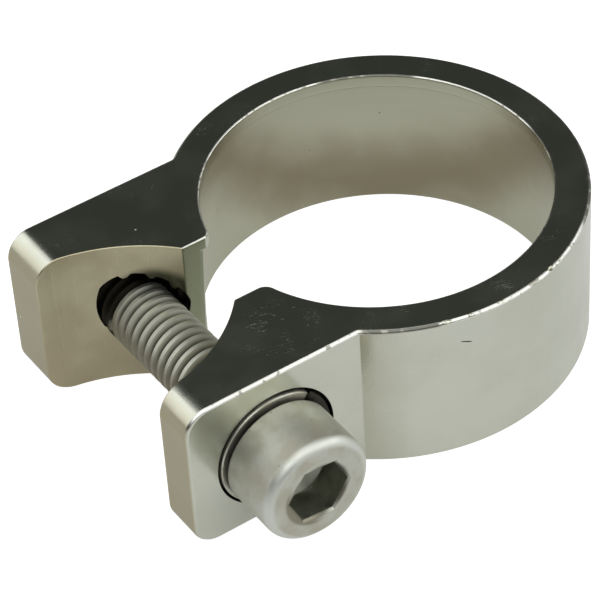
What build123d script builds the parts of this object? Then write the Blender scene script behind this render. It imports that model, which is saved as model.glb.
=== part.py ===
"""Seatpost clamp: an extruded split band with two ears, drawn together by one socket-head screw.

The origin is on the bore's axis, halfway up the band. +Z is up along the bore, the ears point
to -Y, and the screw lies along X with its head on the +X ear. Millimetres throughout.
"""

import os
from math import sqrt

from build123d import *

os.makedirs("parts", exist_ok=True)

# Band: a ring that slides over the top of a bicycle's seat tube
bore_diameter = 31.8
ring_wall = 2.2
height = 14.7
lip_depth = 0.9
lip_height = 1.4

# Gap and ears, all part of the same extrusion; the gap lies a little towards the screw's head
gap_width = 7.8
gap_offset = 0.5
gap_wall = 1.5
ear_span = 27.6
ear_length = 10.4
ear_tip_thickness = 4.3
ear_hollow_radius = 16.0
ear_tip_round = 2.4
ear_root_fillet = 0.4
mouth_fillet = 1.0
edge_chamfer = 0.2

# Screw: M6 with a socket head, seated on a spring washer in the +X ear and threaded into the -X ear
screw_diameter = 6.0
screw_length = 25.0
screw_offset = 2.2
screw_drop = 0.5
screw_end_chamfer = 0.7
thread_clearance = 0.05
head_diameter = 10.0
head_height = 6.0
head_round = 0.9
head_base_chamfer = 0.3
socket_flats = 5.0
socket_depth = 3.0
socket_cone = 1.2
socket_lead_in = 0.2
socket_turn = 55.0

# Spring washer and the holes in the ears
washer_diameter = 10.8
washer_thickness = 1.6
washer_clearance = 0.2
washer_edge_chamfer = 0.15
washer_split = 0.6
washer_split_angle = 50.0
counterbore_clearance = 0.3
counterbore_depth = 1.3
shank_clearance = 0.3
tapped_length = 4.6
relief_clearance = 0.35
relief_rise = 0.45

# Sizes that follow from those above
bore_radius = bore_diameter / 2
lip_radius = bore_radius - lip_depth
ring_radius = bore_radius + ring_wall
half_gap = gap_width / 2
half_span = ear_span / 2
gap_wall_reach = bore_radius + gap_wall
ear_reach = ring_radius + ear_length
ear_root = sqrt(ring_radius**2 - half_span**2)
screw_reach = ring_radius + screw_offset
screw_radius = screw_diameter / 2
head_radius = head_diameter / 2
washer_seat = half_span - counterbore_depth
head_seat = washer_seat + washer_thickness
head_face = head_seat + head_height
screw_tip = head_seat - screw_length
screw_axis = Axis((0, -screw_reach, -screw_drop), (1, 0, 0))
underside = Plane.XY.offset(-height / 2)


def across_screw(x, side=1):
    """The plane square to the screw at x, centred on the screw and facing the +X or -X side."""
    return Plane((x, -screw_reach, -screw_drop), x_dir=(0, side, 0), z_dir=(side, 0, 0))


# Band: the extruded section is a ring with a straight gap and two hollowed ears
with BuildPart() as clamp_band:
    with BuildSketch(underside) as section:
        Circle(ring_radius)
        with Locations((0, -ear_reach / 2)):
            Rectangle(ear_span, ear_reach)
        with BuildLine():
            hollow_start = (gap_offset + half_gap, -gap_wall_reach)
            hollow_end = (gap_offset + half_span - ear_tip_thickness, -ear_reach)
            Polyline((gap_offset, 0), (gap_offset + half_gap, 0), hollow_start)
            RadiusArc(hollow_start, hollow_end, ear_hollow_radius)
            Line(hollow_end, (gap_offset, -ear_reach))
            mirror(about=Plane.YZ.offset(gap_offset))
        make_face(mode=Mode.SUBTRACT)
        Circle(lip_radius, mode=Mode.SUBTRACT)
        corners = section.vertices()
        roots = [corners.sort_by_distance((side * half_span, -ear_root))[0] for side in (-1, 1)]
        fillet(roots, ear_root_fillet)
    extrude(amount=height)

    # The ears' tips are rounded over between their end face and the flat top and bottom
    with BuildSketch(Plane.YZ) as side_view:
        Rectangle(2 * ear_reach, height)
        fillet(side_view.vertices().group_by(Axis.X)[0], ear_tip_round)
    extrude(amount=half_span + ring_radius, both=True, mode=Mode.INTERSECT)

    # The bore is turned out from below and leaves a lip that stops on the tube's end
    with BuildSketch(underside):
        Circle(bore_radius)
    extrude(amount=height - lip_height, mode=Mode.SUBTRACT)

    # The gap's upright corners are rounded, and every edge of the flat faces and tips is broken
    uprights = clamp_band.edges().filter_by(Axis.Z)
    fillet(uprights.filter_by_position(Axis.X, gap_offset - half_gap, gap_offset + half_gap), mouth_fillet)
    edges = clamp_band.edges().filter_by(Axis.X, reverse=True)
    levels = edges.group_by(Axis.Z)
    tips = edges.filter_by_position(Axis.Y, -ear_reach, ear_tip_round - ear_reach)
    chamfer(levels[0] + levels[-1] + tips, edge_chamfer)

    # The screw passes through the +X ear, where a counterbore takes its washer
    with Locations(across_screw(half_span)):
        CounterBoreHole(
            radius=screw_radius + shank_clearance,
            counter_bore_radius=washer_diameter / 2 + counterbore_clearance,
            counter_bore_depth=counterbore_depth,
            depth=half_span,
        )

    # The -X ear is tapped, and the hole is relieved above the screw where it opens into the gap
    with Locations(across_screw(-half_span, side=-1)):
        Hole(screw_radius + thread_clearance, depth=half_span)
    with BuildSketch(across_screw(tapped_length - half_span)):
        with Locations((0, relief_rise)):
            Circle(screw_radius + relief_clearance)
    extrude(amount=half_span - tapped_length, mode=Mode.SUBTRACT)
clamp_band.part.label = "clamp_band"
export_step(clamp_band.part, "parts/clamp_band.step")


# Spring washer: a ring of square wire between the screw's head and the counterbore's floor
with BuildPart() as head_washer:
    with BuildSketch(across_screw(washer_seat)):
        Circle(washer_diameter / 2)
        Circle(screw_radius + washer_clearance, mode=Mode.SUBTRACT)
    extrude(amount=washer_thickness)
    rims = head_washer.edges().filter_by(GeomType.CIRCLE).group_by(SortBy.RADIUS)[-1]
    chamfer(rims, washer_edge_chamfer)

    # It is cut across once, so that it springs
    with BuildSketch(across_screw(washer_seat)):
        with PolarLocations(washer_diameter / 2, count=1, start_angle=washer_split_angle):
            Rectangle(washer_diameter, washer_split)
    extrude(amount=washer_thickness, mode=Mode.SUBTRACT)
head_washer.part.label = "head_washer"
export_step(head_washer.part, "parts/head_washer.step")


# Screw: turned head and shank, then a hexagon socket broached in the head
with BuildPart() as clamp_screw:
    with BuildSketch(Plane.XY.offset(-screw_drop)) as half_section:
        with BuildLine():
            Polyline(
                (screw_tip, -screw_reach),
                (screw_tip, screw_radius - screw_end_chamfer - screw_reach),
                (screw_tip + screw_end_chamfer, screw_radius - screw_reach),
                (head_seat, screw_radius - screw_reach),
                (head_seat, head_radius - head_base_chamfer - screw_reach),
                (head_seat + head_base_chamfer, head_radius - screw_reach),
                (head_face, head_radius - screw_reach),
                (head_face, -screw_reach),
                close=True,
            )
        make_face()
        rim = half_section.vertices().group_by(Axis.X)[-1].sort_by(Axis.Y)[-1]
        fillet(rim, head_round)
    revolve(axis=screw_axis)
    with BuildSketch(across_screw(head_face)):
        RegularPolygon(socket_flats / 2, side_count=6, major_radius=False, rotation=socket_turn)
    extrude(amount=-socket_depth, mode=Mode.SUBTRACT)
    chamfer(clamp_screw.edges(Select.LAST).group_by(Axis.X)[-1], socket_lead_in)
    with BuildSketch(across_screw(head_face - socket_depth)):
        Circle(socket_flats / 2)
    extrude(amount=-socket_cone, taper=60, mode=Mode.SUBTRACT)
clamp_screw.part.label = "clamp_screw"
export_step(clamp_screw.part, "parts/clamp_screw.step")
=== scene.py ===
"""Seatpost clamp: a polished split band, drawn together by one socket-head screw on a spring washer."""

from math import acos, asin, atan2, ceil, cos, hypot, pi, radians, sin, sqrt, tan

import bmesh
import bpy
from mathutils import Matrix, Vector


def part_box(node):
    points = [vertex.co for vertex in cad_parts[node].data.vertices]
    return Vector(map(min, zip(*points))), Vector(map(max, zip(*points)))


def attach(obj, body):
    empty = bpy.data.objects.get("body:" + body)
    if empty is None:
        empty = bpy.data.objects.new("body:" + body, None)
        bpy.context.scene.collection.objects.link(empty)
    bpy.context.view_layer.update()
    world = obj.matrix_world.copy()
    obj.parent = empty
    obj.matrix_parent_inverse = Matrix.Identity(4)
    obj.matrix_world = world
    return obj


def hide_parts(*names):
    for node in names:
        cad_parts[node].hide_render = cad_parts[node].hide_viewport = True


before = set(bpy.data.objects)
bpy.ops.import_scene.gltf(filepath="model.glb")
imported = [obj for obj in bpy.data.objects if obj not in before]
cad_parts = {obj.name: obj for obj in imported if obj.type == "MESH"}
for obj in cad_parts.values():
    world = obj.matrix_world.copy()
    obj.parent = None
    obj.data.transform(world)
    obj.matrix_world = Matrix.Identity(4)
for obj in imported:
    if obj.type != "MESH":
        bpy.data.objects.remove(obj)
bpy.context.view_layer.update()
mm = 0.001


# Clamp band: one length of extruded aluminium, with the ring and both ears in the same section.
# It is cut off, its tips are rounded over, its bore is turned out from below up to a lip, and
# all its edges are broken. Outside it is polished and plated bright, the bore is left satin.
band_low, band_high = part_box("clamp_band")
ring_radius = band_high.x
ear_reach = -band_low.y
bore_radius = 15.9 * mm
lip_radius = 15.0 * mm
lip_height = 1.4 * mm
half_gap = 3.9 * mm
gap_offset = 0.5 * mm
gap_wall_reach = 17.4 * mm
half_span = 13.8 * mm
ear_tip_thickness = 4.3 * mm
ear_hollow_radius = 16.0 * mm
ear_root_fillet = 0.4 * mm
ear_tip_round = 2.4 * mm
mouth_round = 0.75 * mm
edge_round = 0.32 * mm
lip_edge_round = 0.2 * mm
hollow_edge_round = 0.1 * mm
weld = 0.001 * mm


def only(kind, items):
    """The items of one kind among mixed geometry."""
    return [item for item in items if isinstance(item, kind)]


def draw_line(bm, pen, x, y):
    """Carry the section's outline straight on from pen to (x, y), and give its new end."""
    end = bmesh.ops.extrude_vert_indiv(bm, verts=[pen])["verts"][0]
    end.co.xy = x, y
    return end


def draw_arc(bm, pen, centre, angle, steps):
    """Carry the section's outline from pen round centre by angle, and give its new end."""
    swept = bmesh.ops.spin(
        bm, geom=[pen], cent=(*centre, pen.co.z), axis=(0, 0, 1), angle=angle, steps=steps
    )
    return only(bmesh.types.BMVert, swept["geom_last"])[0]


def cut_off(bm, point, outwards, precision):
    """Cut a closed form off at a plane, drop what lies outwards of it, and close the cut."""
    cut = bmesh.ops.bisect_plane(
        bm,
        geom=bm.verts[:] + bm.edges[:] + bm.faces[:],
        dist=precision,
        plane_co=point,
        plane_no=outwards,
        clear_outer=True,
    )
    bmesh.ops.holes_fill(bm, edges=only(bmesh.types.BMEdge, cut["geom_cut"]), sides=0)


def round_edges(bm, edges, offset, segments):
    """Round the given edges over, and give the new faces."""
    rounded = bmesh.ops.bevel(
        bm, geom=edges, offset=offset, affect="EDGES", segments=segments, profile=0.5, material=-1
    )
    return rounded["faces"]


# The section's outline is drawn in one go, from the back of the ring round the near ear, the bore
# and the far ear; the gap and the ears' hollows lie a little off the middle
root_centre_x = half_span + ear_root_fillet
root_angle = acos(root_centre_x / (ring_radius + ear_root_fillet))
root_centre_y = -root_centre_x * tan(root_angle)
tip_inside = half_span - ear_tip_thickness
hollow_chord = Vector((tip_inside - half_gap, gap_wall_reach - ear_reach))
hollow_turn = 2 * asin(hollow_chord.length / 2 / ear_hollow_radius)
hollow_heading = atan2(-hollow_chord.y, hollow_chord.x)
hollow_start = pi / 2 - hollow_heading - hollow_turn / 2
hollow_centre_x = tip_inside - ear_hollow_radius * cos(hollow_start)
hollow_centre_y = -ear_reach - ear_hollow_radius * sin(hollow_start)
near_hollow = Vector((gap_offset + hollow_centre_x, hollow_centre_y))
far_hollow = Vector((gap_offset - hollow_centre_x, hollow_centre_y))
near_gap = gap_offset + half_gap
far_gap = gap_offset - half_gap
near_mouth = asin(near_gap / bore_radius)
far_mouth = asin(-far_gap / bore_radius)
mouth_step = radians(6)
tip_step = radians(5)
outside_turn = -pi / 2 - root_angle
bore_turn = 2 * (pi - mouth_step) - near_mouth - far_mouth

band = bmesh.new()
start = band.verts.new((0, ring_radius, band_low.z))
pen = draw_arc(band, start, (0, 0), outside_turn, steps=64)
pen = draw_arc(band, pen, (root_centre_x, root_centre_y), root_angle, steps=6)
pen = draw_line(band, pen, half_span, -ear_reach)
pen = draw_line(band, pen, gap_offset + tip_inside, -ear_reach)
pen = draw_arc(band, pen, near_hollow, tip_step, steps=1)
pen = draw_arc(band, pen, near_hollow, hollow_turn - tip_step, steps=20)
pen = draw_line(band, pen, near_gap, -bore_radius * cos(near_mouth))
pen = draw_arc(band, pen, (0, 0), mouth_step, steps=1)
pen = draw_arc(band, pen, (0, 0), bore_turn, steps=150)
pen = draw_arc(band, pen, (0, 0), mouth_step, steps=1)
pen = draw_line(band, pen, far_gap, -gap_wall_reach)
pen = draw_arc(band, pen, far_hollow, hollow_turn - tip_step, steps=20)
pen = draw_arc(band, pen, far_hollow, tip_step, steps=1)
pen = draw_line(band, pen, -half_span, -ear_reach)
pen = draw_line(band, pen, -half_span, root_centre_y)
pen = draw_arc(band, pen, (-root_centre_x, root_centre_y), root_angle, steps=6)
draw_arc(band, pen, (0, 0), outside_turn, steps=64)
bmesh.ops.remove_doubles(band, verts=band.verts, dist=weld)
bmesh.ops.contextual_create(band, geom=band.edges[:])
raised = bmesh.ops.extrude_face_region(band, geom=band.faces[:])["geom"]
raised_verts = only(bmesh.types.BMVert, raised)
bmesh.ops.translate(band, verts=raised_verts, vec=(0, 0, band_high.z - band_low.z))


def on_bore(face):
    """Whether all of a face lies on the bore's wall."""
    return all(abs(v.co.xy.length - bore_radius) < weld for v in face.verts)


# The lip is drawn in from the top of the bore, flush with the gap at its end
lip_level = band_high.z - lip_height
flat_angle = radians(0.2)
bore_faces = [f for f in band.faces if on_bore(f)]
bore_parts = set(bore_faces)
for face in bore_faces:
    bore_parts.update(face.edges, face.verts)
bmesh.ops.bisect_plane(
    band, geom=list(bore_parts), dist=weld, plane_co=(0, 0, lip_level), plane_no=(0, 0, 1)
)
lip_faces = [f for f in band.faces if f.calc_center_median().z > lip_level and on_bore(f)]
drawn_in = bmesh.ops.extrude_face_region(band, geom=lip_faces)["geom"]
bmesh.ops.delete(band, geom=lip_faces, context="FACES")
for vert in only(bmesh.types.BMVert, drawn_in):
    if vert.co.y < 0 and min(abs(vert.co.x - near_gap), abs(vert.co.x - far_gap)) < weld:
        vert.co.y = -sqrt(lip_radius**2 - vert.co.x**2)
    else:
        vert.co.xy *= lip_radius / bore_radius
bmesh.ops.recalc_face_normals(band, faces=band.faces)
bmesh.ops.dissolve_limit(band, angle_limit=flat_angle, verts=band.verts, edges=band.edges)

# The gap's upright corners are rounded where it opens into the bore
mouth_corners = [
    e
    for e in band.edges
    if abs(e.verts[0].co.z - e.verts[1].co.z) > lip_height / 2
    and min(abs(e.verts[0].co.x - near_gap), abs(e.verts[0].co.x - far_gap)) < weld
    and -bore_radius < e.verts[0].co.y < 0
]
round_edges(band, mouth_corners, mouth_round, segments=5)

# The tips are rounded over in narrow flats, top and bottom
tip_flats = 14
for side in (1, -1):
    level = band_high.z if side > 0 else band_low.z
    tip_centre = Vector((0, ear_tip_round - ear_reach, level - side * ear_tip_round))
    for flat in range(tip_flats):
        slope = (flat + 0.5) / tip_flats * pi / 2
        facing = Vector((0, -sin(slope), side * cos(slope)))
        cut_off(band, tip_centre + facing * ear_tip_round, facing, precision=weld)
bmesh.ops.recalc_face_normals(band, faces=band.faces)

# How near a point has to be to lie on a hollow, on a wall or inside the ring, and how far two faces
# turn at a sharp edge
hollow_tolerance = 0.03 * mm
wall_tolerance = 0.05 * mm
ring_tolerance = 0.1 * mm
sharp_angle = radians(25)


def on_hollow(point):
    """Whether a point lies on the hollow face of either ear."""
    return any(
        abs((point.xy - centre).length - ear_hollow_radius) < hollow_tolerance
        for centre in (near_hollow, far_hollow)
    )


def on_inner_rim(point):
    """Whether a point lies on the top face's inner edges, at the lip and at the gap beside it."""
    return point.z > band_high.z - weld and point.xy.length < ring_radius - ring_tolerance


def sharp_edges(wanted):
    """The sharp convex edges of the band whose two ends are both as wanted."""
    sharp = [e for e in band.edges if e.is_convex and e.calc_face_angle(0) > sharp_angle]
    return [e for e in sharp if all(wanted(v.co) for v in e.verts)]


# Every sharp edge is broken, the outer ones the most, the lip's less and the hollows' only a little
edge_faces = set(round_edges(band, sharp_edges(on_inner_rim), lip_edge_round, segments=5))
hollow_edges = set(sharp_edges(on_hollow))
outer_edges = [e for e in sharp_edges(lambda point: True) if e not in hollow_edges]
edge_faces.update(round_edges(band, outer_edges, edge_round, segments=4))
edge_layer = band.verts.layers.float.new("broken_edge")
for vert in band.verts:
    vert[edge_layer] = float(all(f in edge_faces for f in vert.link_faces))
hollow_edge_faces = round_edges(band, sharp_edges(on_hollow), hollow_edge_round, segments=3)

# Faces turned towards -Y are marked, most over the tips' rounding and on their end faces; there the polish
# fades to a rougher finish, and a tan is painted that stands in for the shaded floor they reflect
tip_fade_start = 0.45
tip_fade_length = 0.5
band.normal_update()
tip_layer = band.verts.layers.float.new("tip_end")
for vert in band.verts:
    vert[tip_layer] = min(max((-vert.normal.y - tip_fade_start) / tip_fade_length, 0.0), 1.0)

# The bore and its lip are left satin from turning, and the gap and the hollows from milling
polished_finish, turned_finish, milled_finish, drilled_finish = range(4)
level_face = 0.5
for face in band.faces:
    face.smooth = True
    middle = face.calc_center_median()
    radius = middle.xy.length
    if abs(face.normal.z) > level_face:
        face.material_index = polished_finish
    elif min(abs(radius - bore_radius), abs(radius - lip_radius)) < wall_tolerance:
        face.material_index = turned_finish
    elif on_hollow(middle) or (middle.y < 0 and abs(middle.x - gap_offset) < half_gap + wall_tolerance):
        face.material_index = milled_finish
for face in hollow_edge_faces:
    face.material_index = milled_finish


def add_piece(name, bm):
    """Make an object of that name from a finished bmesh, at the origin."""
    mesh = bpy.data.meshes.new(name)
    bm.to_mesh(mesh)
    bm.free()
    piece = bpy.data.objects.new(name, mesh)
    bpy.context.scene.collection.objects.link(piece)
    return piece


def carve(piece, name, bm, finish, smooth=True, operation="DIFFERENCE"):
    """Cut a bmesh out of the piece, or join it on, for good; its faces bring their own finish."""
    for face in bm.faces:
        face.smooth = smooth
        face.material_index = finish
    tool = add_piece(name, bm)
    boolean = piece.modifiers.new("carve", "BOOLEAN")
    boolean.operation = operation
    boolean.solver = "EXACT"
    boolean.material_mode = "INDEX"
    boolean.object = tool
    evaluated = piece.evaluated_get(bpy.context.evaluated_depsgraph_get())
    carved = bpy.data.meshes.new_from_object(evaluated)
    piece.modifiers.clear()
    piece.data = carved
    bpy.data.objects.remove(tool)


def turned_solid(points, centre, steps):
    """A solid turned about the line along X through centre, from points of (along X, radius)."""
    bm = bmesh.new()
    verts = [bm.verts.new((along, centre.y, centre.z + radius)) for along, radius in points]
    edges = [bm.edges.new(pair) for pair in zip(verts, verts[1:])]
    bmesh.ops.spin(
        bm, geom=verts + edges, cent=centre, axis=(1, 0, 0), angle=2 * pi, steps=steps, use_merge=True
    )
    bmesh.ops.remove_doubles(bm, verts=bm.verts, dist=weld)
    bmesh.ops.recalc_face_normals(bm, faces=bm.faces)
    return bm


thread_flank_angle = radians(30)


def threaded_rod(first, last, crest, root, pitch, crest_share, centre, steps):
    """A rod with a right-handed thread from first to last, about the line along X through centre.

    The crest takes its share of what the sloping flanks leave of the pitch, and the root the rest.
    """
    bm = bmesh.new()
    flank = (crest - root) * tan(thread_flank_angle)
    crest_flat = (pitch - 2 * flank) * crest_share
    root_flat = pitch - 2 * flank - crest_flat
    turns = ceil((last - first) / pitch) + 1
    profile = [
        (0, root),
        (root_flat, root),
        (root_flat + flank, crest),
        (root_flat + flank + crest_flat, crest),
        (pitch, root),
    ]
    verts = [bm.verts.new((first - pitch + along, centre.y, centre.z + r)) for along, r in profile]
    edges = [bm.edges.new(pair) for pair in zip(verts, verts[1:])]
    bmesh.ops.spin(
        bm,
        geom=verts + edges,
        cent=centre,
        axis=(1, 0, 0),
        dvec=(pitch / steps, 0, 0),
        angle=2 * pi * turns,
        steps=steps * turns,
    )
    bmesh.ops.remove_doubles(bm, verts=bm.verts, dist=weld)
    for level, outwards in ((first, -1), (last, 1)):
        cut_off(bm, (level, 0, 0), (outwards, 0, 0), precision=weld / 10)
    bmesh.ops.recalc_face_normals(bm, faces=bm.faces)
    return bm


clamp_band = add_piece("clamp_band_polished", band)

# The +X ear is drilled for the screw and counterbored, a little off its axis, for the washer
screw_low, screw_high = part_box("clamp_screw")
washer_low, washer_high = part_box("head_washer")
screw_centre = (washer_low + washer_high) / 2
screw_centre.x = 0
shank_hole_radius = 3.3 * mm
counterbore_radius = 5.6 * mm
counterbore_shift = Vector((0, 0.12, 0.12)) * mm
rim_break = 0.06 * mm
overrun = 1 * mm
past_ear = half_span + overrun
drill = turned_solid(
    [(0, 0), (0, shank_hole_radius), (past_ear, shank_hole_radius), (past_ear, 0)],
    screw_centre,
    steps=96,
)
cutter = turned_solid(
    [
        (washer_low.x, 0),
        (washer_low.x, counterbore_radius),
        (half_span - rim_break, counterbore_radius),
        (past_ear, counterbore_radius + past_ear - half_span + rim_break),
        (past_ear, 0),
    ],
    screw_centre + counterbore_shift,
    steps=96,
)
carve(clamp_band, "drill", drill, drilled_finish)
carve(clamp_band, "cutter", cutter, drilled_finish)

# The -X ear is tapped, and the thread breaks out raggedly through the slanted hollow face
thread_pitch = 1.0 * mm
tap_crest = 3.06 * mm
tap_root = 2.62 * mm
tap_crest_share = 0.5
tap_start = screw_low.x - 4 * thread_pitch
torn_pitch = 1.4 * mm
torn_crest = 3.5 * mm
torn_root = 3.1 * mm
torn_crest_share = 0.8
torn_shift = Vector((-8.5, -0.2, 1.5)) * mm
torn_floor = -9.9 * mm
torn_tilt = Matrix.Rotation(radians(4), 3, "Y")
torn_centre = screw_centre + torn_shift
tap = threaded_rod(
    tap_start, 0, tap_crest, tap_root, thread_pitch, tap_crest_share, screw_centre, steps=48
)
torn_mouth = threaded_rod(
    torn_floor, 0, torn_crest, torn_root, torn_pitch, torn_crest_share, torn_centre, steps=48
)
bmesh.ops.rotate(torn_mouth, verts=torn_mouth.verts, cent=torn_centre, matrix=torn_tilt)
carve(clamp_band, "tap", tap, drilled_finish)
carve(clamp_band, "torn_mouth", torn_mouth, drilled_finish)


def add_dent(bm, angle, height, slope, depth, length, width):
    """Add a flattened ball, with these half sizes in millimetres, that lies on the ring's wall."""
    bmesh.ops.create_icosphere(
        bm,
        subdivisions=3,
        radius=mm,
        matrix=Matrix.Rotation(angle, 4, "Z")
        @ Matrix.Translation((ring_radius, 0, height))
        @ Matrix.Rotation(slope, 4, "X")
        @ Matrix.Diagonal((depth, length, width, 1)),
    )


# Knocks have nicked the ring's top edge, each nick given by its angle in degrees and its length and
# depth in millimetres, and have scratched the wall once
edge_nicks = ((-17.5, 1.1, 0.2), (-10.5, 0.8, 0.16), (-1, 0.5, 0.13), (17, 0.9, 0.2), (21, 0.5, 0.14))
nick_spread = 1.6
nicks = bmesh.new()
for angle, length, depth in edge_nicks:
    add_dent(nicks, radians(angle), band_high.z, 0, depth * nick_spread, length / 2, depth)
carve(clamp_band, "nicks", nicks, polished_finish)
scratch_angle = radians(-12.1)
scratch_height = 4.65 * mm
scratch_slope = radians(-20)
scratch = bmesh.new()
add_dent(scratch, scratch_angle, scratch_height, scratch_slope, depth=0.05, length=0.55, width=0.06)
carve(clamp_band, "scratch", scratch, drilled_finish, smooth=False)

crease_angle = radians(32)


def finish_mesh(piece):
    """Keep creases sharp, and let flat faces hold their own direction beside rounded edges."""
    mesh = piece.data
    bm = bmesh.new()
    bm.from_mesh(mesh)
    for edge in bm.edges:
        same_finish = len({f.material_index for f in edge.link_faces}) == 1
        edge.smooth = same_finish and edge.calc_face_angle(0) < crease_angle
    bm.to_mesh(mesh)
    bm.free()
    weighted = piece.modifiers.new("flat faces stay flat", "WEIGHTED_NORMAL")
    weighted.mode = "FACE_AREA"
    weighted.weight = 100
    weighted.keep_sharp = True


finish_mesh(clamp_band)


def set_input(tree, socket, value):
    """Give an input a value, or link it to an output."""
    if isinstance(value, bpy.types.NodeSocket):
        tree.links.new(value, socket)
    else:
        socket.default_value = value


def add_node(tree, kind, inputs=None, **settings):
    """Put a node into a tree, with its settings, and with a value or a link for each input named."""
    node = tree.nodes.new(kind)
    for name, value in settings.items():
        setattr(node, name, value)
    for name, value in (inputs or {}).items():
        set_input(tree, node.inputs[name], value)
    return node


def calculate(tree, operation, first, second=0.0):
    """The result of one sum on two numbers or links."""
    return add_node(tree, "ShaderNodeMath", {0: first, 1: second}, operation=operation).outputs[0]


def measure(tree, operation, first, second=(0, 0, 0)):
    """The one number that a distance, a length or a dot product of places gives."""
    node = add_node(tree, "ShaderNodeVectorMath", {0: first, 1: second}, operation=operation)
    return node.outputs["Value"]


def combine_places(tree, operation, first, second):
    """The place that a sum or a product of two places gives."""
    node = add_node(tree, "ShaderNodeVectorMath", {0: first, 1: second}, operation=operation)
    return node.outputs["Vector"]


def scale_place(tree, place, scale):
    """A place with each of its coordinates scaled."""
    return add_node(tree, "ShaderNodeMapping", {"Vector": place, "Scale": scale}).outputs["Vector"]


def coordinate(tree, place, axis):
    """One coordinate of a place."""
    return add_node(tree, "ShaderNodeSeparateXYZ", {"Vector": place}).outputs[axis]


def attribute(tree, name):
    """A number that the mesh's points carry."""
    return add_node(tree, "ShaderNodeAttribute", attribute_name=name).outputs["Fac"]


def between(tree, value, low, high, to_low=0.0, to_high=1.0):
    """A value carried smoothly from one range to another, and held at its ends."""
    inputs = {"Value": value, "From Min": low, "From Max": high, "To Min": to_low, "To Max": to_high}
    return add_node(tree, "ShaderNodeMapRange", inputs, interpolation_type="SMOOTHSTEP").outputs["Result"]


def fading(tree, value, full, gone):
    """A share that is 1 up to full and 0 from gone on."""
    return between(tree, value, full, gone, 1.0, 0.0)


def vary(tree, share, low, high):
    """A value that passes from low to high by a share."""
    return between(tree, share, 0.0, 1.0, low, high)


def near_spots(tree, place, spots, core):
    """A share that is 1 near each (spot, reach), as far as the core of its reach, and 0 beyond it."""
    share = 0.0
    for spot, reach in spots:
        apart = measure(tree, "DISTANCE", place, spot)
        share = calculate(tree, "MAXIMUM", fading(tree, apart, reach * core, reach), share)
    return share


def off_line(tree, place, centre):
    """How far a place is from the line along X through centre."""
    apart = combine_places(tree, "SUBTRACT", place, centre)
    return measure(tree, "LENGTH", combine_places(tree, "MULTIPLY", apart, (0, 1, 1)))


def lay_over(tree, colour, *layers):
    """A colour with others laid over it, each by its own share."""
    for share, paint in layers:
        node = add_node(tree, "ShaderNodeMix", data_type="RGBA")
        set_input(tree, node.inputs["Factor"], share)
        set_input(tree, node.inputs[6], colour)
        set_input(tree, node.inputs[7], paint)
        colour = node.outputs[2]
    return colour


def new_group(name, inputs):
    """An empty group that takes a place in millimetres and some numbers, and puts out a mask."""
    group = bpy.data.node_groups.new(name, "ShaderNodeTree")
    group.interface.new_socket("Place", in_out="INPUT", socket_type="NodeSocketVector")
    for socket in inputs:
        group.interface.new_socket(socket, in_out="INPUT", socket_type="NodeSocketFloat")
    group.interface.new_socket("Mask", in_out="OUTPUT", socket_type="NodeSocketFloat")
    entry = group.nodes.new("NodeGroupInput")
    result = group.nodes.new("NodeGroupOutput")
    return group, entry.outputs, result.inputs["Mask"]


def use_group(tree, group, **inputs):
    """A group's mask in a material, with its own values."""
    return add_node(tree, "ShaderNodeGroup", inputs, node_tree=group).outputs["Mask"]


def noise(tree, place, scale, detail):
    """A cloudy value about its middle of 0.5."""
    inputs = {"Vector": place, "Scale": scale, "Detail": detail}
    return add_node(tree, "ShaderNodeTexNoise", inputs).outputs["Fac"]


# Blotches: broad cloudy patches, as plating and handling leave them
blotches, entry, result = new_group("blotches", ["Size"])
blotch_limits = (0.36, 0.66)
cloud = noise(blotches, entry["Place"], calculate(blotches, "DIVIDE", 1.0, entry["Size"]), detail=4.0)
blotches.links.new(between(blotches, cloud, *blotch_limits), result)

# Grain: a fine even tooth
grain, entry, result = new_group("grain", ["Size"])
tooth = noise(grain, entry["Place"], calculate(grain, "DIVIDE", 1.0, entry["Size"]), detail=1.5)
grain.links.new(tooth, result)

# Hairlines: thin scratches that run along X once turned about Z, broken into short lengths
hairlines, entry, result = new_group("hairlines", ["Turn", "Length", "Spacing", "Share"])
noise_middle = 0.5
line_width = 0.012
patch_scale = 0.55
patch_limit = 0.75
turned_place = add_node(
    hairlines,
    "ShaderNodeVectorRotate",
    {"Vector": entry["Place"], "Angle": entry["Turn"]},
    rotation_type="Z_AXIS",
)
across_lines = calculate(hairlines, "DIVIDE", 1.0, entry["Spacing"])
stretch = add_node(
    hairlines,
    "ShaderNodeCombineXYZ",
    {"X": calculate(hairlines, "DIVIDE", 1.0, entry["Length"]), "Y": across_lines, "Z": across_lines},
)
stretched = combine_places(
    hairlines,
    "MULTIPLY",
    turned_place.outputs["Vector"],
    stretch.outputs["Vector"],
)
ridges = noise(hairlines, stretched, scale=1.0, detail=1.0)
from_middle = calculate(hairlines, "ABSOLUTE", calculate(hairlines, "SUBTRACT", ridges, noise_middle))
thin_lines = fading(hairlines, from_middle, 0.0, line_width)
patches = noise(hairlines, entry["Place"], patch_scale, detail=2.0)
least = calculate(hairlines, "SUBTRACT", patch_limit, entry["Share"])
shown = calculate(hairlines, "GREATER_THAN", patches, least)
hairlines.links.new(calculate(hairlines, "MULTIPLY", thin_lines, shown), result)

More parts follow.
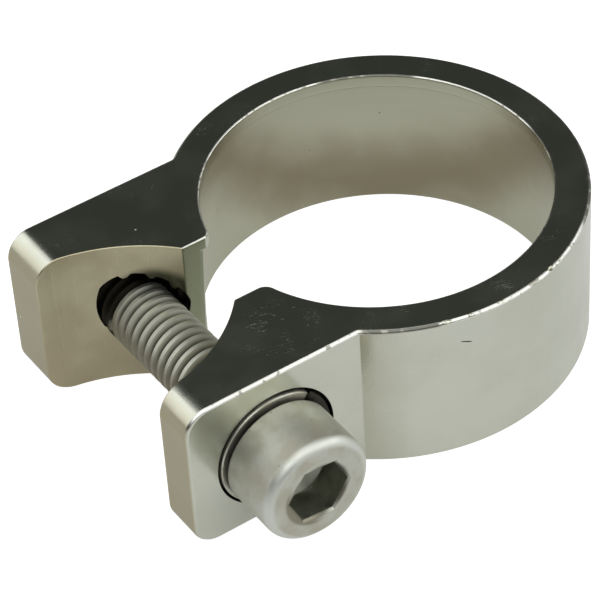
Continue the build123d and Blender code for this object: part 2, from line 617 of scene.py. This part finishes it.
# Specks: small round pits and dust, in some of the cells of a scatter
specks, entry, result = new_group("specks", ["Spacing", "Size", "Share"])
speck_fade = 1.4
cells = {"Vector": entry["Place"], "Scale": calculate(specks, "DIVIDE", 1.0, entry["Spacing"])}
scatter = add_node(specks, "ShaderNodeTexVoronoi", cells)
chosen = add_node(specks, "ShaderNodeSeparateColor", {"Color": scatter.outputs["Color"]}).outputs["Red"]
dot = add_node(
    specks,
    "ShaderNodeMapRange",
    {
        "Value": scatter.outputs["Distance"],
        "From Min": entry["Size"],
        "From Max": calculate(specks, "MULTIPLY", entry["Size"], speck_fade),
        "To Min": 1.0,
        "To Max": 0.0,
    },
)
picked = calculate(specks, "LESS_THAN", chosen, entry["Share"])
specks.links.new(calculate(specks, "MULTIPLY", dot.outputs["Result"], picked), result)


def new_material(name):
    """A bare metal material, with its Principled shader and the piece's own place in millimetres."""
    material = bpy.data.materials.new(name)
    material.use_nodes = True
    tree = material.node_tree
    shader = tree.nodes["Principled BSDF"]
    shader.inputs["Metallic"].default_value = 1.0
    coordinates = add_node(tree, "ShaderNodeTexCoord")
    place = scale_place(tree, coordinates.outputs["Object"], (1 / mm, 1 / mm, 1 / mm))
    return material, tree, shader, place


def set_surface(tree, shader, colour, roughness, height, depth):
    """Give a shader its colour and roughness, and a relief of height times depth."""
    bump = add_node(tree, "ShaderNodeBump", {"Height": height, "Strength": 1.0, "Distance": depth})
    tree.links.new(colour, shader.inputs["Base Color"])
    tree.links.new(roughness, shader.inputs["Roughness"])
    tree.links.new(bump.outputs["Normal"], shader.inputs["Normal"])


# Polished: bright plating with faint cloudy patches, hairlines both ways, dust and pits, and a few scuffed
# places on the top face; the upper edges are rubbed bright with a painted highlight, painted dark along
# three stretches as a painted reflection of dark surroundings, and worn in spots; faces turned towards -Y
# are painted tan as a painted reflection of shaded floor. Places are (x, y, reach) on the top face, in
# millimetres
plating = (0.635, 0.655, 0.565, 1)
cloudy_plating = (0.605, 0.62, 0.53, 1)
# The tan on faces turned towards -Y is a painted reflection of shaded floor
tip_shade_tan = (0.42, 0.385, 0.26, 1)
# The bright edge colour is partly wear and partly a painted highlight, laid on the upper edges only
rubbed_edge_highlight = (0.88, 0.88, 0.82, 1)
# This dark edge colour is a painted reflection of dark surroundings
dark_reflection_edge = (0.17, 0.17, 0.145, 1)
worn_edge = (0.4, 0.39, 0.33, 1)
pale_mark = (0.8, 0.8, 0.72, 1)
scuffed_places = (
    (13.9, -8.0, 1.6),
    (16.6, 0.7, 1.4),
    (13.9, 7.8, 1.5),
    (-15.0, -7.4, 1.5),
    (9.4, -16.5, 4.5),
)
scuffed_core = 0.4
scuff_strength = 0.6
line_strength = 0.12
# Where the edges carry the painted dark reflection, as (x, y, reach)
dark_reflection_places = ((15.8, -8.8, 3.7), (-12.7, 8.0, 4.8), (9.0, 15.7, 8.2))
dark_reflection_core = 0.78
upper_edge_heights = (6.2, 6.9)
worn_limits = (0.7, 1.0)
polished_roughness = (0.2, 0.24)
mark_roughness = 0.42
edge_roughness = 0.16
tip_roughness = 0.12
mark_relief = -2.0
polished_depth = 0.001 * mm
top_face = band_high.z / mm
polished, tree, shader, place = new_material("band_polished")
clouds = use_group(tree, blotches, Place=place, Size=5.0)
long_lines = use_group(tree, hairlines, Place=place, Turn=0.5, Length=9.0, Spacing=0.5, Share=0.17)
cross_lines = use_group(tree, hairlines, Place=place, Turn=-0.8, Length=6.0, Spacing=0.4, Share=0.14)
rubs = use_group(tree, hairlines, Place=place, Turn=1.9, Length=1.8, Spacing=0.34, Share=0.23)
dust = use_group(tree, specks, Place=place, Spacing=1.6, Size=0.05, Share=0.16)
edge_spots = use_group(tree, blotches, Place=place, Size=0.9)
scuffed_spots = [((x, y, top_face), reach) for x, y, reach in scuffed_places]
scuffed = near_spots(tree, place, scuffed_spots, scuffed_core)
scuffs = calculate(tree, "MULTIPLY", calculate(tree, "MULTIPLY", scuffed, rubs), scuff_strength)
all_lines = calculate(tree, "MAXIMUM", long_lines, cross_lines)
faint_lines = calculate(tree, "MULTIPLY", all_lines, line_strength)
marks = calculate(tree, "MAXIMUM", calculate(tree, "MAXIMUM", scuffs, dust), faint_lines)
upper = between(tree, coordinate(tree, place, "Z"), *upper_edge_heights)
edge = calculate(tree, "MULTIPLY", attribute(tree, "broken_edge"), upper)
dark_reflection_spots = [((x, y, top_face), reach) for x, y, reach in dark_reflection_places]
dark_reflected = calculate(tree, "MULTIPLY", edge, near_spots(tree, place, dark_reflection_spots, dark_reflection_core))
worn = calculate(tree, "MULTIPLY", edge, between(tree, edge_spots, *worn_limits))
tip_end = attribute(tree, "tip_end")
colour = lay_over(
    tree,
    plating,
    (clouds, cloudy_plating),
    (tip_end, tip_shade_tan),
    (edge, rubbed_edge_highlight),
    (dark_reflected, dark_reflection_edge),
    (worn, worn_edge),
    (marks, pale_mark),
)
roughness = vary(tree, clouds, *polished_roughness)
for mask, rougher in ((marks, mark_roughness), (edge, edge_roughness), (tip_end, tip_roughness)):
    roughness = calculate(tree, "ADD", roughness, calculate(tree, "MULTIPLY", mask, rougher))
height = calculate(tree, "ADD", clouds, calculate(tree, "MULTIPLY", marks, mark_relief))
set_surface(tree, shader, colour, roughness, height, polished_depth)

# Turned: the bore's satin, with fine rings left by the tool, and a brown painted shade slantwise round it,
# darkest low on the bore's far side
bore_satin = (0.55, 0.55, 0.432, 1)
# This brown is painted shade, darkest low on the bore's far side
bore_shade_brown = (0.315, 0.283, 0.19, 1)
bore_dust = (0.25, 0.23, 0.18, 1)
tool_ring_scale = (0.05, 0.05, 14.0)
grain_middle = (0.25, 0.75)
shade_slant = (-1.03, 0.72, 1.0)
shade_level = 14.5
shade_raggedness = 1.5
shade_limits = (0.5, 9.0)
turned_roughness = (0.28, 0.38)
satin_depth = 0.003 * mm
turned_satin, tree, shader, place = new_material("bore_turned")
rings = use_group(tree, grain, Place=scale_place(tree, place, tool_ring_scale), Size=1.0)
clouds = use_group(tree, blotches, Place=place, Size=7.0)
dust = use_group(tree, specks, Place=place, Spacing=1.3, Size=0.05, Share=0.2)
slant = measure(tree, "DOT_PRODUCT", place, shade_slant)
from_shade_level = calculate(tree, "ABSOLUTE", calculate(tree, "SUBTRACT", slant, shade_level))
ragged = calculate(tree, "ADD", from_shade_level, calculate(tree, "MULTIPLY", clouds, shade_raggedness))
bore_shade = fading(tree, ragged, *shade_limits)
colour = lay_over(tree, bore_satin, (bore_shade, bore_shade_brown), (dust, bore_dust))
roughness = between(tree, rings, *grain_middle, *turned_roughness)
set_surface(tree, shader, colour, roughness, rings, satin_depth)

# Milled: the gap's walls and the ears' hollows, satin with fine upright lines and a tan stain; the far ear
# is darker round and above the torn mouth, and the gap's own walls are greener
milled_grey = (0.53, 0.498, 0.345, 1)
stain_tan = (0.425, 0.377, 0.25, 1)
mouth_dark = (0.1, 0.097, 0.068, 1)
gap_green = (0.355, 0.385, 0.265, 1)
milled_dust = (0.22, 0.19, 0.13, 1)
cutter_line_scale = (7.0, 7.0, 0.12)
mouth_dark_centre = (0, -19.2, 1.5)
mouth_dark_limits = (2.6, 3.7)
far_ear_limits = (-1.0, 0.0)
gap_limits = (-17.5, -17.35)
milled_roughness = (0.27, 0.36)
milled_satin, tree, shader, place = new_material("hollow_milled")
lines = use_group(tree, grain, Place=scale_place(tree, place, cutter_line_scale), Size=1.0)
stain = use_group(tree, blotches, Place=place, Size=8.0)
dust = use_group(tree, specks, Place=place, Spacing=1.4, Size=0.06, Share=0.2)
on_far_ear = fading(tree, coordinate(tree, place, "X"), *far_ear_limits)
round_mouth = fading(tree, off_line(tree, place, mouth_dark_centre), *mouth_dark_limits)
mouth_darkening = calculate(tree, "MULTIPLY", on_far_ear, round_mouth)
in_gap = between(tree, coordinate(tree, place, "Y"), *gap_limits)
colour = lay_over(
    tree,
    milled_grey,
    (stain, stain_tan),
    (mouth_darkening, mouth_dark),
    (in_gap, gap_green),
    (dust, milled_dust),
)
roughness = between(tree, lines, *grain_middle, *milled_roughness)
set_surface(tree, shader, colour, roughness, lines, satin_depth)

# Drilled: bare walls of the holes, near black, partly from old grease and partly as painted shade inside
# the holes
hole_grease_and_shade_black = (0.022, 0.018, 0.012, 1)
grease_thin = (0.075, 0.068, 0.052, 1)
drilled_roughness = (0.35, 0.6)
drilled_depth = 0.03 * mm
drilled, tree, shader, place = new_material("holes_greased_and_shaded")
grease_and_shade = use_group(tree, blotches, Place=place, Size=0.8)
colour = lay_over(tree, hole_grease_and_shade_black, (grease_and_shade, grease_thin))
set_surface(tree, shader, colour, vary(tree, grease_and_shade, *drilled_roughness), grease_and_shade, drilled_depth)

for material in (polished, turned_satin, milled_satin, drilled):
    clamp_band.data.materials.append(material)
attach(clamp_band, "clamp")
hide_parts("clamp_band")


# Spring washer: square steel wire coiled once round and cut, so that its two ends stand apart.
# It is plated, and lies loose in the counterbore, under the screw's head, with its cut above the
# screw, towards the ring.
washer_outside = (washer_high.y - washer_low.y) / 2
washer_inside = 3.2 * mm
washer_height = washer_high.x - washer_low.x
washer_rise = 0.35 * mm
washer_slip = 0.15 * mm
slip_angle = radians(45)
split_angle = radians(50)
split_turn = radians(6.5)
wire_steps = 90
wire_round = 0.12 * mm
wire_corner = radians(40)
washer = bmesh.new()
wire = [
    washer.verts.new((washer_low.x + along, screw_centre.y + radius, screw_centre.z))
    for along, radius in (
        (washer_rise, washer_inside),
        (washer_rise, washer_outside),
        (washer_height, washer_outside),
        (washer_height, washer_inside),
    )
]
washer.faces.new(wire)
bmesh.ops.rotate(
    washer,
    verts=washer.verts,
    cent=screw_centre,
    matrix=Matrix.Rotation(split_angle + split_turn / 2, 3, "X"),
)
bmesh.ops.spin(
    washer,
    geom=washer.faces[:],
    cent=screw_centre,
    axis=(1, 0, 0),
    dvec=(-washer_rise / wire_steps, 0, 0),
    angle=2 * pi - split_turn,
    steps=wire_steps,
)
bmesh.ops.recalc_face_normals(washer, faces=washer.faces)
wire_edges = [e for e in washer.edges if e.is_convex and e.calc_face_angle(0) > wire_corner]
round_edges(washer, wire_edges, wire_round, segments=3)
for face in washer.faces:
    face.smooth = True
slip = Vector((0, cos(slip_angle), sin(slip_angle))) * washer_slip
bmesh.ops.translate(washer, verts=washer.verts, vec=slip)
head_washer = add_piece("spring_washer", washer)
finish_mesh(head_washer)

# Its plating has tarnished, and it is painted dark with shade at two places round the counterbore, each
# given by an angle in degrees and a reach in millimetres
washer_grey = (0.58, 0.58, 0.51, 1)
tarnish_grey = (0.43, 0.415, 0.34, 1)
# This near black is painted shade round the counterbore
washer_shade = (0.045, 0.04, 0.032, 1)
shaded_places = ((28, 3.4), (300, 4.5))
shaded_core = 0.5
washer_roughness = (0.38, 0.5)
washer_depth = 0.006 * mm
washer_steel, tree, shader, place = new_material("washer_plated")
tooth = use_group(tree, grain, Place=place, Size=0.12)
tarnish = use_group(tree, blotches, Place=place, Size=1.2)
shaded_spots = []
for angle, reach in shaded_places:
    across = Vector((0, cos(radians(angle)), sin(radians(angle)))) * counterbore_radius
    spot = screw_centre + Vector((washer_high.x, 0, 0)) + across
    shaded_spots.append((spot / mm, reach))
grease_and_shade = near_spots(tree, place, shaded_spots, shaded_core)
colour = lay_over(tree, washer_grey, (tarnish, tarnish_grey), (grease_and_shade, washer_shade))
set_surface(tree, shader, colour, vary(tree, tarnish, *washer_roughness), tooth, washer_depth)
head_washer.data.materials.append(washer_steel)
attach(head_washer, "washer")
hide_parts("head_washer")


# Clamp screw: an M6 socket-head screw of steel, headed and broached, with a rolled thread along
# nearly all its shank, and plated to a satin grey. Its thread runs in the far ear.
screw_tip = screw_low.x
head_face = screw_high.x
head_radius = (screw_high.y - screw_low.y) / 2
head_seat = washer_high.x
thread_crest = 3.0 * mm
thread_root = 2.55 * mm
thread_crest_share = 0.75
thread_end = head_seat - 2.5 * mm
tip_chamfer = 0.7 * mm
neck_radius = 2.7 * mm
neck_start = thread_end - 1.5 * mm
neck_full = thread_end - 0.5 * mm
neck_sink = 0.1 * mm
head_round = 0.9 * mm
head_round_steps = 10
head_base_chamfer = 0.3 * mm
head_sides = 96
socket_flats = 5.0 * mm
socket_turn = radians(55)
socket_depth = 3.0 * mm
socket_lead_in = 0.2 * mm
point_depth = 1.2 * mm
point_radius = socket_flats / 2 - 0.05 * mm
point_overlap = 0.3 * mm
plated_finish, socket_finish = range(2)

shank = threaded_rod(
    screw_tip,
    thread_end,
    thread_crest,
    thread_root,
    thread_pitch,
    thread_crest_share,
    screw_centre,
    steps=64,
)
for vert in shank.verts:
    off_axis = vert.co - screw_centre
    limit = thread_crest - tip_chamfer + (vert.co.x - screw_tip)
    radius = hypot(off_axis.y, off_axis.z)
    if radius > limit:
        vert.co.y = screw_centre.y + off_axis.y * limit / radius
        vert.co.z = screw_centre.z + off_axis.z * limit / radius

head_profile = [
    (neck_start, 0),
    (neck_start, thread_root - neck_sink),
    (neck_full, neck_radius),
    (head_seat, neck_radius),
    (head_seat, head_radius - head_base_chamfer),
    (head_seat + head_base_chamfer, head_radius),
]
for step in range(head_round_steps + 1):
    slope = step / head_round_steps * pi / 2
    along = head_face - head_round * (1 - sin(slope))
    head_profile.append((along, head_radius - head_round * (1 - cos(slope))))
head_profile.append((head_face, 0))
head = turned_solid(head_profile, screw_centre, steps=head_sides)
for face in head.faces:
    face.smooth = True
clamp_screw = add_piece("socket_head_screw", head)
carve(clamp_screw, "shank", shank, plated_finish, operation="UNION")

# The socket is broached as a hexagon with a lead-in, and ends in a drilled point
socket_corner = socket_flats / 2 / cos(pi / 6)
socket_floor = head_face - socket_depth
at_face = Matrix.Translation((head_face, screw_centre.y, screw_centre.z))
stand = at_face @ Matrix.Rotation(pi / 2, 4, "Y") @ Matrix.Rotation(socket_turn, 4, "Z")
for name, depth, mouth_corner, finish in (
    ("socket", socket_depth, socket_corner, socket_finish),
    ("lead_in", socket_lead_in, socket_corner + socket_lead_in, plated_finish),
):
    broach = bmesh.new()
    bmesh.ops.create_cone(
        broach,
        cap_ends=True,
        segments=6,
        radius1=socket_corner,
        radius2=2 * mouth_corner - socket_corner,
        depth=2 * depth,
        matrix=stand,
    )
    carve(clamp_screw, name, broach, finish, smooth=False)
point = turned_solid(
    [
        (socket_floor - point_depth, 0),
        (socket_floor, point_radius),
        (socket_floor + point_overlap, point_radius),
        (socket_floor + point_overlap, 0),
    ],
    screw_centre,
    steps=48,
)
carve(clamp_screw, "point", point, socket_finish, smooth=False)
finish_mesh(clamp_screw)

# Plated: an even satin with a fine tooth, darker where hands have been, with painted shade in the thread's
# roots, inside the far ear, beside the washer and on the shank's low side, and a worn rim that is partly a
# painted highlight. Limits are in millimetres: along X, off the axis, to its low side, or from the head's
# seat and face
screw_grey = (0.575, 0.583, 0.52, 1)
handled_grey = (0.505, 0.494, 0.41, 1)
shank_grey = (0.565, 0.57, 0.495, 1)
# The dark in the thread's roots is painted shade
root_shade = (0.15, 0.142, 0.11, 1)
pit_grey = (0.36, 0.345, 0.28, 1)
# The brown on the shank's low side is painted shade
low_side_shade_brown = (0.3, 0.285, 0.22, 1)
# The bright rim is partly wear and partly a painted highlight
rim_highlight_bright = (0.655, 0.675, 0.615, 1)
# This near black is painted shade inside the far ear and beside the washer
screw_shade = (0.03, 0.027, 0.02, 1)
shank_limits = (3.1, 3.4)
tapped_limits = (-6.65, -6.25)
tapped_raggedness = 0.5
seat_limits = (0.2, 0.45)
past_shank_limits = (3.5, 4.0)
low_side = (0, -0.86, -0.51)
low_side_shade_limits = (1.0, 2.4)
face_limits = (-1.0, -0.4)
rim_limits = (4.15, 4.55)
screw_roughness = (0.5, 0.58)
rim_smoothness = 0.04
screw_depth = 0.008 * mm
screw_steel, tree, shader, place = new_material("screw_plated")
tooth = use_group(tree, grain, Place=place, Size=0.14)
handled = use_group(tree, blotches, Place=place, Size=2.2)
pits = use_group(tree, specks, Place=place, Spacing=0.9, Size=0.07, Share=0.25)
along = coordinate(tree, place, "X")
off_axis = off_line(tree, place, screw_centre / mm)
on_shank = fading(tree, off_axis, *shank_limits)
in_root = fading(tree, off_axis, thread_root / mm, thread_crest / mm)
ragged = calculate(tree, "ADD", along, calculate(tree, "MULTIPLY", handled, tapped_raggedness))
in_far_ear = fading(tree, ragged, *tapped_limits)
under_head = fading(tree, along, head_seat / mm + seat_limits[0], head_seat / mm + seat_limits[1])
past_shank = between(tree, off_axis, *past_shank_limits)
beside_washer = calculate(tree, "MULTIPLY", under_head, past_shank)
grease_and_shade = calculate(tree, "MAXIMUM", in_far_ear, beside_washer)
from_axis = combine_places(tree, "SUBTRACT", place, screw_centre / mm)
lowness = measure(tree, "DOT_PRODUCT", from_axis, low_side)
low_side_shade = calculate(tree, "MULTIPLY", on_shank, between(tree, lowness, *low_side_shade_limits))
near_face = between(tree, along, head_face / mm + face_limits[0], head_face / mm + face_limits[1])
rim_worn_highlight = calculate(tree, "MULTIPLY", near_face, between(tree, off_axis, *rim_limits))
colour = lay_over(
    tree,
    screw_grey,
    (handled, handled_grey),
    (on_shank, shank_grey),
    (in_root, root_shade),
    (pits, pit_grey),
    (low_side_shade, low_side_shade_brown),
    (rim_worn_highlight, rim_highlight_bright),
    (grease_and_shade, screw_shade),
)
roughness = vary(tree, handled, *screw_roughness)
smoother = calculate(tree, "MULTIPLY", rim_worn_highlight, rim_smoothness)
roughness = calculate(tree, "SUBTRACT", roughness, smoother)
set_surface(tree, shader, colour, roughness, tooth, screw_depth)

# Socket: the broached walls, darker where the plating is thin and oil has darkened, and darker again as
# painted shade in the recess
socket_shaded_grey = (0.38, 0.39, 0.33, 1)
oil_grey = (0.29, 0.3, 0.245, 1)
socket_roughness = (0.45, 0.33)
socket_dark, tree, shader, place = new_material("socket_oiled_shaded")
oil = use_group(tree, blotches, Place=place, Size=1.1)
tooth = use_group(tree, grain, Place=place, Size=0.2)
colour = lay_over(tree, socket_shaded_grey, (oil, oil_grey))
set_surface(tree, shader, colour, vary(tree, oil, *socket_roughness), tooth, screw_depth)

for material in (screw_steel, socket_dark):
    clamp_screw.data.materials.append(material)
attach(clamp_screw, "screw")
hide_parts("clamp_screw")


# Floor: a broad white table, lit from above and a little from within, which the camera sees
# as a bright white ground and the metal as a duller grey one
floor_half = 1500 * mm
floor_gap = 0.02 * mm
floor_grey = (0.48, 0.48, 0.48, 1)
floor_glow = (0.3, 0.9)
floor = bmesh.new()
bmesh.ops.create_grid(floor, x_segments=1, y_segments=1, size=floor_half)
bmesh.ops.translate(floor, verts=floor.verts, vec=(0, 0, band_low.z - floor_gap))
white_table = add_piece("white_table", floor)
table_white = bpy.data.materials.new("table_white")
table_white.use_nodes = True
tree = table_white.node_tree
shader = tree.nodes["Principled BSDF"]
shader.inputs["Base Color"].default_value = floor_grey
shader.inputs["Roughness"].default_value = 0.9
shader.inputs["Specular IOR Level"].default_value = 0.0
shader.inputs["Emission Color"].default_value = (1, 1, 1, 1)
seen = add_node(tree, "ShaderNodeLightPath").outputs["Is Camera Ray"]
tree.links.new(vary(tree, seen, *floor_glow), shader.inputs["Emission Strength"])
white_table.data.materials.append(table_white)


# Light: a dim room with one broad softbox overhead and four lower ones round the clamp
def softbox(name, direction, distance, width, height, radiance):
    """A rectangular light, in metres, that faces the clamp from that direction."""
    lamp = bpy.data.lights.new(name, "AREA")
    lamp.shape = "RECTANGLE"
    lamp.size = width
    lamp.size_y = height
    lamp.energy = radiance * pi * width * height
    light = bpy.data.objects.new(name, lamp)
    bpy.context.scene.collection.objects.link(light)
    away = Vector(direction).normalized()
    light.location = away * distance
    light.rotation_euler = away.to_track_quat("Z", "Y").to_euler()


softbox("overhead_softbox", (0.17, -0.12, 1), distance=0.6, width=0.82, height=0.82, radiance=1.28)
softbox("left_softbox", (-0.63, -0.5, 0.42), distance=0.6, width=0.6, height=0.5, radiance=1.35)
softbox("right_softbox", (0.64, 0.52, 0.42), distance=0.7, width=0.7, height=0.6, radiance=1.4)
softbox("front_softbox", (0.62, -0.45, 0.66), distance=0.6, width=0.5, height=0.35, radiance=1.2)
softbox("back_softbox", (0.15, 0.92, 0.42), distance=0.7, width=0.6, height=0.35, radiance=1.2)

room_grey = (0.034, 0.038, 0.033, 1)
room = bpy.data.worlds.new("dim_room")
room.use_nodes = True
room.node_tree.nodes["Background"].inputs["Color"].default_value = room_grey
bpy.context.scene.world = room
bpy.context.scene.view_settings.view_transform = "Standard"


# Camera: a long lens from above the screw's head
view_azimuth = radians(58.0)
view_elevation = radians(42.35)
view_roll = radians(-3.91)
view_distance = 270.5 * mm
view_aim = Vector((-1.51, -7.42, -2.65)) * mm
lens = bpy.data.cameras.new("photo_camera")
lens.sensor_width = 36
lens.lens = 188.7
lens.clip_start = 10 * mm
camera = bpy.data.objects.new("photo_camera", lens)
bpy.context.scene.collection.objects.link(camera)
turn = Matrix.Rotation(view_azimuth, 4, "Z") @ Matrix.Rotation(pi / 2 - view_elevation, 4, "X")
away = Vector(
    (sin(view_azimuth) * cos(view_elevation), -cos(view_azimuth) * cos(view_elevation), sin(view_elevation))
)
eye = Matrix.Translation(view_aim + away * view_distance)
camera.matrix_world = eye @ turn @ Matrix.Rotation(view_roll, 4, "Z")
bpy.context.scene.camera = camera
